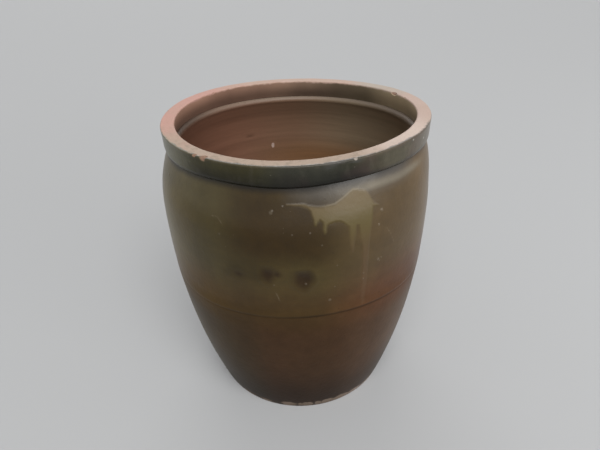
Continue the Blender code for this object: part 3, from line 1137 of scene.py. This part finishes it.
def mouth_glaze(coat, patch):
    """Brown and olive glaze in the mouth, darkened by painted shade in the undercut under the edge."""
    mouth = coat.mix(coat.side(-110, 110), MOUTH_TONE, MOUTH_LEFT)
    mouth = coat.mix(coat.side(105, 60), mouth, MOUTH_RIGHT)
    # Painted shade: the inner face darkens downwards towards the ledge, less on some sides
    fade = 1 - 0.82 * coat.side(128, 42, 22) - 0.30 * coat.side(-150, 30, 10)
    painted_undercut_shade = 0.67 + 0.83 * coat.step(coat.kept("climb"), 0.30, 0.95) * fade
    back = 1 - 0.31 * coat.side(153, 38, 16)
    mouth = coat.tint(mouth, painted_undercut_shade * (0.78 + 0.44 * patch) * back)
    return coat.tint(mouth, 1 + 0.85 * coat.side(110, 27, 8) + 0.26 * coat.side(-100, 32, 10))


def collar_material(finish):
    """Bare clay on top, green-black glaze on the face, brown and olive glaze in the mouth."""
    coat = Coat("collar_glaze")
    outside = coat.outside()
    ripple = coat.noise(120, 2, offset=0.6)
    ragged = 0.0072 * (coat.noise(150, 4, offset=2.2) - 0.5)
    wander = 0.0070 * (coat.noise(34, 3, offset=5.2) - 0.5)
    depth = coat.kept("edge") + ragged + wander
    glazed = coat.step(depth, -0.0018, 0.0016)
    worn = coat.step(depth, 0.0100, 0.0010) * glazed
    patch = coat.noise(24, 3, stretch=(1, 1, 0.6), offset=3.0)
    face = collar_face(coat, finish, patch, ripple, worn)
    glaze = coat.mix(outside, mouth_glaze(coat, patch), face)

    stain = coat.step(coat.noise(60, 4, offset=7.0), 0.62, 0.80)
    thin = coat.step(depth, -0.0042, -0.0006) * (1 - outside)
    clay = coat.layers(
        clay_colour(coat, finish), (stain * 0.25, CLAY_STAIN), (thin * 0.35, CLAY_EDGE),
    )
    pale_edge = coat.band(depth, 0.0, 0.0018) * coat.side(8, 26, 6)
    ghost = coat.step(coat.noise(90, 4, offset=1.7), 0.44, 0.60)
    chip = coat.fall(coat.kept("chip") + 0.22 * (coat.noise(240, 3) - 0.5), 0.60, 0.95)
    chip_colour = coat.layers(
        tuple(finish.chip),
        (coat.noise(260, 3, offset=2.9), CHIP_DARK),
        (coat.side(18, 14, 6), CHIP_FRONT),
    )
    colour = coat.layers(
        coat.mix(glazed, clay, glaze),
        (pale_edge * ghost * 0.75 * outside, COLLAR_PALE_EDGE),
        (chip * 0.85, chip_colour),
    )
    gloss = 0.22 + 0.14 * coat.noise(8, 3, offset=6.0) + (1 - outside) * 0.08
    bare = (1 - glazed) + chip * glazed
    roughness = gloss + bare * (0.80 - gloss)
    sandy = coat.bump(coat.noise(600, 3, offset=1.0), 0.35, 0.0003)
    wavy = coat.bump(ripple, 0.35, 0.0008, sandy)
    normal = coat.bump(glazed, 0.5, 0.0004, wavy)
    return coat.surface(colour, roughness, normal)


def on_outside(shape, points):
    """Whether each point lies outside the middle of the wall."""
    return radii(points) > middle_radius(shape, points[:, 2])


def bare_patches(points):
    """How far inside a patch of bare clay at the foot each point lies."""
    nearest = np.full(len(points), -FAR)
    for bearing, height, half_turn, half_height in FOOT_PATCHES:
        half_width = math.radians(half_turn) * FOOT_RADIUS
        off = spot(points, bearing, height, half_width, half_height, FOOT_RADIUS)
        nearest = np.maximum(nearest, (1.0 - off) * half_height)
    return np.maximum(nearest, FOOT_SCUFF - points[:, 2])


def key_points(shape, height, edge, drop):
    """Key across a joint, outer shoulder first; a positive drop points down."""
    middle = float(middle_radius(shape, height))
    return [(middle + KEY_HALF_WIDTH, edge), (middle, edge - drop), (middle - KEY_HALF_WIDTH, edge)]


def seam_relief(shape, points, lip):
    """Groove at the seam, deepest at the front, with a lip of glaze beside it."""
    off = points[:, 2] - shape.seam_height
    groove = -SEAM_GROOVE * np.exp(-(off / SEAM_GROOVE_WIDTH) ** 2)
    relief = groove + lip * np.exp(-((np.abs(off) - SEAM_LIP_OFFSET) / SEAM_LIP_WIDTH) ** 2)
    front = facing_share(points, *SEAM_FRONT)
    return relief * (SEAM_SIDE_SHARE + (1 - SEAM_SIDE_SHARE) * front)


def throwing_rings(heights):
    """Finger ridges on the inside: one slow set and one fine set."""
    slow = 0.5 - 0.5 * np.cos(2 * math.pi * heights / SLOW_RING_PITCH)
    fine = 0.5 - 0.5 * np.cos(2 * math.pi * heights / FINE_RING_PITCH)
    return RING_DEPTH * (slow + FINE_RING_SHARE * fine)


class JAR_OT_base_disc(bpy.types.Operator):
    """Turn the floor slab, ringed inside and bare underneath"""

    bl_idname = "jar.base_disc"
    bl_label = "Floor slab"

    def outline(self, shape, inner):
        """Section of the slab, from the middle of its top to the middle of its underside."""
        top = shape.floor_thickness
        outline = [(0.0, top)]
        for radius in spread(FLOOR_MIDDLE, inner, FLOOR_PITCH)[:-1]:
            ring = math.cos(2 * math.pi * radius / FLOOR_RING_PITCH)
            outline.append((radius, top - FLOOR_RING_DEPTH * (1 - ring)))
        outline += [(inner, top), *reversed(key_points(shape, top, top, KEY_DEPTH))]
        rise = spread(top, FOOT_BEVEL, FOOT_PITCH)
        outline += list(zip(outer_radius(shape, rise) - SLAB_INSET, rise))
        foot = FOOT_RADIUS - FOOT_BEVEL
        outline += arc((foot, FOOT_BEVEL), FOOT_BEVEL, FOOT_ARC_START, -90, FOOT_STEPS)
        for radius in spread(foot - UNDERSIDE_INSET, UNDERSIDE_INSET, UNDERSIDE_PITCH):
            outline.append((radius, 0.0))
        return [*outline, (0.0, 0.0)]

    def execute(self, context):
        shape = context.scene.jar_shape
        inner = float(inner_radius(shape, shape.floor_thickness)) - COVE_RADIUS
        piece = turn("base_slab", self.outline(shape, inner), shape.turn_steps, closed=False)
        points = points_of(piece)
        start, end = FLOOR_GLAZE_END
        outside = smooth_step(inner + start, inner + end, radii(points))
        underside = points[:, 2] < FOOT_BEVEL / 2
        keep_all(piece, {
            "outside": np.maximum(outside, points[:, 2] < shape.floor_thickness / 2),
            "bare": np.where(underside, FOOT_SCUFF, bare_patches(points)),
            "seam": np.full(len(points), FAR),
        })
        smooth_by_angle(piece, SLAB_SHARP)
        material = lower_wall_material(context.scene.jar_finish, "slab_clay_and_glaze")
        finish_piece(piece, "base_disc", material)
        return {"FINISHED"}


class JAR_OT_lower_wall(bpy.types.Operator):
    """Turn the lower wall, from the floor slab up to the seam"""

    bl_idname = "jar.lower_wall"
    bl_label = "Lower wall"

    def outline(self, shape, bottom):
        """Section of the wall, from the seam down the outside and up the inside."""
        floor, top = shape.floor_thickness, shape.seam_height
        rise = spread(top, bottom, LOWER_WALL_PITCH)
        near = spread(top, top - SEAM_FINE_REACH, SEAM_PITCH)
        rise = np.unique(np.concatenate([rise[rise < near.min()], near]))[::-1]
        outline = list(zip(outer_radius(shape, rise), rise))
        outline += key_points(shape, floor, bottom, KEY_DEPTH)
        cove_top = floor + COVE_RADIUS
        centre = float(inner_radius(shape, cove_top)) - COVE_RADIUS
        outline += arc((centre, cove_top), COVE_RADIUS, -90, 0, COVE_STEPS)[:-1]
        climb = spread(cove_top, top, LOWER_INSIDE_PITCH)
        outline += list(zip(inner_radius(shape, climb) - throwing_rings(climb), climb))
        return [*outline, *reversed(key_points(shape, top, top, KEY_DEPTH))]

    def execute(self, context):
        shape = context.scene.jar_shape
        bottom = shape.floor_thickness - JOINT_OVERLAP
        piece = turn("lower_wall_glazed", self.outline(shape, bottom), shape.turn_steps)
        points = points_of(piece)
        outside = on_outside(shape, points)
        seam = np.abs(points[:, 2] - shape.seam_height)
        ends = smooth_step(0.0, FOOT_FADE, points[:, 2] - bottom) * smooth_step(0.0, SEAM_FADE, seam)
        relief = ends * lumps(points, WALL_UNEVENNESS, LOWER_WALL_SEED)
        relief += seam_relief(shape, points, 0.0)
        points = warp_seam(shape, push_out(points, outside * relief))
        move_points(piece, points)
        keep_all(piece, {"outside": outside, "seam": seam, "bare": bare_patches(points)})
        smooth_by_angle(piece, WALL_SHARP)
        material = lower_wall_material(context.scene.jar_finish, "lower_glaze")
        finish_piece(piece, "lower_wall", material)
        return {"FINISHED"}


class JAR_OT_upper_wall(bpy.types.Operator):
    """Turn the upper wall with its rolled ledge, then model the glaze run, finger marks and warts"""

    bl_idname = "jar.upper_wall"
    bl_label = "Upper wall"

    def outline(self, shape):
        """Section of the wall, from the ledge's top down the outside and up the inside."""
        seam, neck = shape.seam_height, shape.neck_height
        corner = shape.rim_radius - RIM_WIDTH + RIM_UNDERCUT
        ledge_top = shape.height - LEDGE_DEPTH
        low = spread(seam + SEAM_FINE_REACH, seam, SEAM_PITCH)
        high = spread(neck, seam + SEAM_FINE_REACH + SEAM_FINE_GAP, UPPER_WALL_PITCH)
        drop = np.concatenate([high, low])
        outline = [(corner, ledge_top)]
        outline += list(zip(outer_radius(shape, drop), drop))
        outline += key_points(shape, seam, seam - JOINT_OVERLAP, KEY_DEPTH)
        foot_radius, foot_height = ledge_foot(shape)
        climb = spread(seam - JOINT_OVERLAP, foot_height, UPPER_INSIDE_PITCH)[:-1]
        fade = 1 - smooth_step(foot_height - LEDGE_FADE, foot_height, climb)
        outline += list(zip(inner_radius(shape, climb) - fade * throwing_rings(climb), climb))
        centre = (corner, ledge_top - LEDGE_ROLL_RADIUS)
        start = 180 + math.degrees(LEDGE_TURN)
        return outline + arc(centre, LEDGE_ROLL_RADIUS, start, 90, LEDGE_STEPS)[:-1]

    def warts(self):
        """Places and radii of the warts: those seen at the front, and more round the back."""
        chance = np.random.default_rng(WART_SEED)
        scattered = [
            tuple(chance.uniform(*limits) for limits in SCATTER_RANGES)
            for _ in range(SCATTERED_WARTS)
        ]
        return (*WARTS, *scattered)

    def refine_marks(self, shape, piece, warts):
        """Give the mesh finer faces along the run and round the finger marks and warts."""
        belly = shape.belly_radius

        def on_front(centres):
            centres = warp_rim(shape, warp_neck(shape, centres, True))
            turns, heights = bearings(centres), centres[:, 2]
            field = (turns > FINE_BEARINGS[0]) & (turns < FINE_BEARINGS[1])
            field &= (heights > FINE_HEIGHTS[0]) & (heights < FINE_HEIGHTS[1])
            return field & on_outside(shape, centres)

        def on_marks(centres):
            centres = warp_rim(shape, warp_neck(shape, centres, True))
            near = np.abs(outline_depth(centres, RUN_OUTLINE, belly)) < FINE_OUTLINE_REACH
            for bearing, height, half_width, half_height, *_ in FINGER_MARKS:
                off = spot(centres, bearing, height, half_width, half_height, belly)
                near |= off < FINE_SPOT_REACH
            for bearing, height, size in warts:
                near |= gap_to(centres, bearing, height, belly) < size + FINE_WART_REACH
            return near & on_outside(shape, centres)

        refine(piece, on_front)
        refine(piece, on_marks)

    def run_relief(self, points, belly, values):
        """Thickness of the glaze run, its lip and the pale lines; their distances go to `values`."""
        values["run"] = outline_depth(points, RUN_OUTLINE, belly)
        values["lip"] = line_distance(points, RUN_TOP, belly)
        routes = [line_distance(points, route, belly) for route in PALE_LINES]
        values["line"] = np.minimum.reduce(routes)
        thickness = smooth_step(*RUN_RISE, points[:, 2]) * smooth_step(*RUN_EDGE, values["run"])
        thickness += LIP_SHARE * fall_off(values["lip"], LIP_REACH)
        thickness += LINE_SHARE * fall_off(values["line"], LINE_REACH)
        return RUN_THICKNESS * thickness

    def mark_relief(self, points, belly, warts, values):
        """Hollows of the finger marks and height of the warts; their places go to `values`."""
        relief = np.zeros(len(points))
        finger = np.full(len(points), FAR)
        for bearing, height, half_width, half_height, depth, faintness in FINGER_MARKS:
            off = spot(points, bearing, height, half_width, half_height, belly)
            finger = np.minimum(finger, off + faintness)
            edge = MARK_RIM_SHARE * np.exp(-((off - MARK_RIM_PLACE) / MARK_RIM_WIDTH) ** 2)
            relief += depth * (edge - fall_off(off, MARK_REACH))
        wart = np.full(len(points), -FAR)
        for bearing, height, size in warts:
            gap = gap_to(points, bearing, height, belly)
            wart = np.maximum(wart, size - gap)
            relief += WART_HEIGHT * fall_off(gap, WART_REACH * size)
        values["finger"], values["wart"] = finger, wart
        return relief

    def inner_dents(self, points, belly, values):
        """Pits and the raised fleck inside; their places go to `values`."""
        pit = np.full(len(points), FAR)
        for place in WALL_PITS:
            pit = np.minimum(pit, spot(points, *place, belly))
        fleck = spot(points, *WALL_FLECK, belly)
        values["pit"], values["fleck"] = pit, fleck
        return PIT_DEPTH * fall_off(pit, DENT_REACH) - FLECK_HEIGHT * fall_off(fleck, DENT_REACH)

    def execute(self, context):
        shape = context.scene.jar_shape
        belly = shape.belly_radius
        piece = turn("upper_wall_glazed", self.outline(shape), shape.turn_steps)
        warts = self.warts()
        self.refine_marks(shape, piece, warts)
        points = points_of(piece)
        outside = on_outside(shape, points)
        seam = np.abs(points[:, 2] - shape.seam_height)
        drop = shape.neck_height - points[:, 2]
        ends = smooth_step(0.0, SEAM_FADE, seam) * smooth_step(0.0, NECK_FADE, drop)
        groove = seam_relief(shape, points, SEAM_LIP)
        points = warp_seam(shape, warp_rim(shape, warp_neck(shape, points, outside)))

        values = {"outside": outside, "seam": seam, "drop": drop}
        relief = groove + self.run_relief(points, belly, values)
        relief += self.mark_relief(points, belly, warts, values)
        front = facing_share(points, *WALL_FRONT)
        unevenness = lumps(points, WALL_UNEVENNESS, UPPER_WALL_SEED)
        relief += ends * (unevenness - front * WALL_ALLOWANCE)
        relief = outside * np.minimum(relief, belly - radii(points))
        dent = self.inner_dents(points, belly, values)
        move_points(piece, push_out(points, relief + ~outside * dent))
        keep_all(piece, values)
        smooth_by_angle(piece, WALL_SHARP)
        material = upper_wall_material(context.scene.jar_finish)
        finish_piece(piece, "upper_wall", material)
        return {"FINISHED"}


class JAR_OT_rim_collar(bpy.types.Operator):
    """Turn the rim collar, then chip its edges and let it go slightly out of true"""

    bl_idname = "jar.rim_collar"
    bl_label = "Rim collar"

    def outline(self, shape):
        """Section of the collar, from the top's outer edge down the face and up the mouth."""
        neck, edge = shape.neck_height, RIM_EDGE_RADIUS
        mouth_top = shape.height - edge
        foot_radius = NECK_RADIUS + COLLAR_OVERHANG
        foot_height = neck + COLLAR_UNDERSIDE + COLLAR_FOOT_HEIGHT
        outer, inner = shape.rim_radius, shape.rim_radius - RIM_WIDTH
        outline = arc((outer - edge, mouth_top), edge, 90, 0, EDGE_STEPS)
        for height in spread(mouth_top, foot_height, COLLAR_PITCH)[1:-1]:
            share = (height - foot_height) / (mouth_top - foot_height)
            outline.append((foot_radius + (outer - foot_radius) * share, height))
        for turned in np.radians(spread(0, 90, COLLAR_FOOT_PITCH)):
            radius = foot_radius - COLLAR_FOOT_WIDTH * (1 - math.cos(turned))
            outline.append((radius, foot_height - COLLAR_FOOT_HEIGHT * math.sin(turned)))
        outline.append((NECK_RADIUS + JOINT_OVERLAP, neck))
        ledge_top = shape.height - LEDGE_DEPTH
        for height in spread(ledge_top, mouth_top, COLLAR_PITCH)[:-1]:
            fall = (mouth_top - height) / (mouth_top - ledge_top)
            outline.append((inner + RIM_UNDERCUT * fall ** UNDERCUT_CURVE_POWER, height))
        outline += arc((inner + edge, mouth_top), edge, 180, 90, EDGE_STEPS)
        for radius in spread(inner + edge, outer - edge, COLLAR_PITCH)[1:-1]:
            outline.append((radius, shape.height))
        return outline

    def chip_gap(self, shape, points, chip):
        """Distance of points from a chip's middle, as a share of its size."""
        bearing, side, half_width, half_height, _ = chip
        rim = shape.rim_radius - (CHIP_INSET * half_height if side else RIM_WIDTH)
        off_u = across(points, bearing, rim) / half_width
        off_r = (radii(points) - rim) / half_height
        off_v = (points[:, 2] - shape.height + CHIP_SINK * half_height) / half_height
        wide, narrow = SPOT_UNEVENNESS
        uneven = 1 + wide * np.cos(3 * off_u + bearing) + narrow * np.cos(7 * off_u)
        return np.sqrt(off_u ** 2 + off_r ** 2 + off_v ** 2) * uneven

    def glaze_edge(self, shape, points, outside):
        """Distance over the surface from where the glaze ends, positive on the glaze."""
        outer, inner = shape.rim_radius, shape.rim_radius - RIM_WIDTH
        drop = shape.height - points[:, 2]
        front = facing_share(points, *RIM_FRONT)
        over = (radii(points) - outer + RIM_EDGE_RADIUS) + drop
        bare_outside = BARE_OVER_EDGE + (BARE_AT_FRONT - BARE_OVER_EDGE) * front
        into = (inner + RIM_EDGE_RADIUS - radii(points)) + drop
        bare_inside = BARE_IN_MOUTH + BARE_MOUTH_GAIN * front
        return np.where(outside, over - bare_outside, into - bare_inside)

    def speck_gap(self, shape, points, climb):
        """Distance of points from the nearest pale speck, as a share of its radius."""
        nearest = np.full(len(points), FAR)
        for bearing, share, size in COLLAR_SPECKS:
            up = (climb - share) * (shape.height - shape.neck_height)
            gap = np.hypot(across(points, bearing, shape.rim_radius), up)
            nearest = np.minimum(nearest, gap / size)
        return nearest

    def wear(self, points):
        """Fine waves round the rim's top, from minus one to one."""
        chance = np.random.default_rng(WEAR_SEED)
        turns = np.radians(bearings(points))
        worn = np.zeros(len(points))
        for count in WEAR_COUNTS:
            worn += np.cos(count * turns + chance.uniform(0, 2 * math.pi)) / len(WEAR_COUNTS)
        return worn

    def execute(self, context):
        shape = context.scene.jar_shape
        piece = turn("rim_collar_glazed", self.outline(shape), shape.rim_steps)

        def on_chips(centres):
            near = np.zeros(len(centres), bool)
            for chip in RIM_CHIPS:
                near |= self.chip_gap(shape, centres, chip) < FINE_SPOT_REACH
            return near

        refine(piece, on_chips, cuts=2)
        points = points_of(piece)
        outside = radii(points) > shape.rim_radius - RIM_WIDTH / 2
        climb = (points[:, 2] - shape.neck_height) / (shape.height - shape.neck_height)
        values = {
            "outside": outside,
            "edge": self.glaze_edge(shape, points, outside),
            "climb": climb,
            "speck": self.speck_gap(shape, points, climb),
        }
        top = smooth_step(RIM_TOP_REACH, 0.0, shape.height - points[:, 2])
        worn = self.wear(points)
        values["chip"] = np.full(len(points), FAR)
        for chip in RIM_CHIPS:
            gap = self.chip_gap(shape, points, chip)
            values["chip"] = np.minimum(values["chip"], gap)
            side, depth = chip[1], chip[4]
            cut = depth * (1 - smooth_step(CHIP_CORE, 1.0, gap))
            points = push_out(points, -cut if side else cut)
            points[:, 2] -= CHIP_DROP * cut
        points[:, 2] -= top * COLLAR_UNEVENNESS * (1 + worn)
        face = outside * (1 - top)
        points = push_out(points, face * lumps(points, COLLAR_UNEVENNESS, COLLAR_SEED))
        move_points(piece, warp_rim(shape, warp_neck(shape, points, outside)))
        keep_all(piece, values)
        smooth_by_angle(piece, COLLAR_SHARP)
        material = collar_material(context.scene.jar_finish)
        finish_piece(piece, "rim_collar", material)
        return {"FINISHED"}


class JAR_OT_stage(bpy.types.Operator):
    """Add the floor, the soft lights and the camera"""

    bl_idname = "jar.stage"
    bl_label = "Stage"

    def execute(self, context):
        self.add_floor()
        self.add_world(context)
        self.add_lamps()
        self.add_camera(context)
        context.scene.view_settings.view_transform = "Standard"
        return {"FINISHED"}

    def add_floor(self):
        """Pale floor under the jar."""
        bpy.ops.object.select_all(action="DESELECT")
        bpy.ops.mesh.primitive_plane_add(size=FLOOR_SIZE, location=(0, 0, 0))
        floor = bpy.context.object
        floor.name = "floor"
        paper = Graph(bpy.data.materials.new("floor_paper"))
        inputs = {"Base Color": (*FLOOR_COLOUR, 1.0), "Roughness": 0.9, "Specular IOR Level": 0.1}
        shader = paper.node("ShaderNodeBsdfPrincipled", {}, inputs)
        paper.node("ShaderNodeOutputMaterial", {}, {"Surface": shader}, None)
        floor.data.materials.append(paper.owner)

    def add_world(self, context):
        """White for what is seen and mirrored, softer for what lights the jar."""
        world = Graph(bpy.data.worlds.new("studio"))
        context.scene.world = world.owner
        path = world.node("ShaderNodeLightPath", {}, {}, None)
        seen, glossy, through = (
            Wire(world, path.outputs[ray])
            for ray in ("Is Camera Ray", "Is Glossy Ray", "Is Transmission Ray")
        )
        white = seen.combine("MAXIMUM", glossy.combine("MAXIMUM", through))
        inputs = {"Value": white, "To Min": AMBIENT_LEVEL, "To Max": 1.0}
        level = world.node("ShaderNodeMapRange", {}, inputs)
        inputs = {"Color": (1.0, 1.0, 1.0, 1.0), "Strength": level}
        background = world.node("ShaderNodeBackground", {}, inputs)
        world.node("ShaderNodeOutputWorld", {}, {"Surface": background}, None)

    def add_lamps(self):
        """A broad high light, a weak one from behind, and softboxes that give the glaze its sheen."""
        for name, azimuth, elevation, spread_angle, strength in SUNS:
            lamp = self.add_lamp("SUN", name, self.direction(azimuth, elevation))
            lamp.data.angle = math.radians(spread_angle)
            lamp.data.energy = strength
        for name, azimuth, distance, height, width, tall, power in SOFTBOXES:
            place = distance * self.direction(azimuth, 0)
            lamp = self.add_lamp("AREA", name, place + Vector((0, 0, height)))
            lamp.data.shape = "RECTANGLE"
            lamp.data.size = width
            lamp.data.size_y = tall
            lamp.data.energy = power

    def direction(self, azimuth, elevation):
        """Unit vector from the jar towards a place in the room, 0 being the front."""
        turn_to, up = math.radians(azimuth), math.radians(elevation)
        level = math.cos(up)
        return Vector((level * math.sin(turn_to), -level * math.cos(turn_to), math.sin(up)))

    def add_lamp(self, kind, name, place):
        """Lamp that points at the jar and isn't seen itself."""
        bpy.ops.object.light_add(type=kind, location=place)
        lamp = bpy.context.object
        lamp.name = name
        aim = Vector(LAMP_TARGET) - place if kind == "AREA" else -place
        lamp.rotation_euler = aim.to_track_quat("-Z", "Y").to_euler()
        lamp.visible_camera = False
        return lamp

    def add_camera(self, context):
        """Camera where the photograph was taken from."""
        bpy.ops.object.camera_add(location=CAMERA_PLACE)
        camera = bpy.context.object
        camera.name = "camera"
        camera.data.sensor_width = CAMERA_SENSOR
        camera.data.lens = CAMERA_LENS
        tilt = Matrix.Rotation(math.radians(90 - CAMERA_PITCH), 4, "X")
        roll = Matrix.Rotation(math.radians(CAMERA_ROLL), 4, "Z")
        camera.matrix_world = Matrix.Translation(CAMERA_PLACE) @ tilt @ roll
        context.scene.camera = camera


class JAR_PT_panel(bpy.types.Panel):
    """Sidebar panel that lists the jar's pieces, sizes and colours."""

    bl_idname = "JAR_PT_panel"
    bl_label = "Storage jar"
    bl_space_type = "VIEW_3D"
    bl_region_type = "UI"
    bl_category = "Jar"

    def draw(self, context):
        layout = self.layout
        for operator in OPERATORS:
            layout.operator(operator.bl_idname)
        for group in (context.scene.jar_shape, context.scene.jar_finish):
            box = layout.box()
            for name in group.__annotations__:
                box.prop(group, name)


OPERATORS = (
    JAR_OT_stage, JAR_OT_base_disc, JAR_OT_lower_wall, JAR_OT_upper_wall, JAR_OT_rim_collar,
)
CLASSES = (JarShape, JarFinish, *OPERATORS, JAR_PT_panel)


def register():
    """Register the classes and attach the settings to the scene."""
    for item in CLASSES:
        bpy.utils.register_class(item)
    bpy.types.Scene.jar_shape = PointerProperty(type=JarShape)
    bpy.types.Scene.jar_finish = PointerProperty(type=JarFinish)


def unregister():
    """Remove the settings and the classes."""
    del bpy.types.Scene.jar_finish
    del bpy.types.Scene.jar_shape
    for item in reversed(CLASSES):
        bpy.utils.unregister_class(item)


def main():
    """Build the stage and the jar."""
    register()
    bpy.ops.jar.stage()
    bpy.ops.jar.base_disc()
    bpy.ops.jar.lower_wall()
    bpy.ops.jar.upper_wall()
    bpy.ops.jar.rim_collar()


if __name__ == "__main__":
    main()
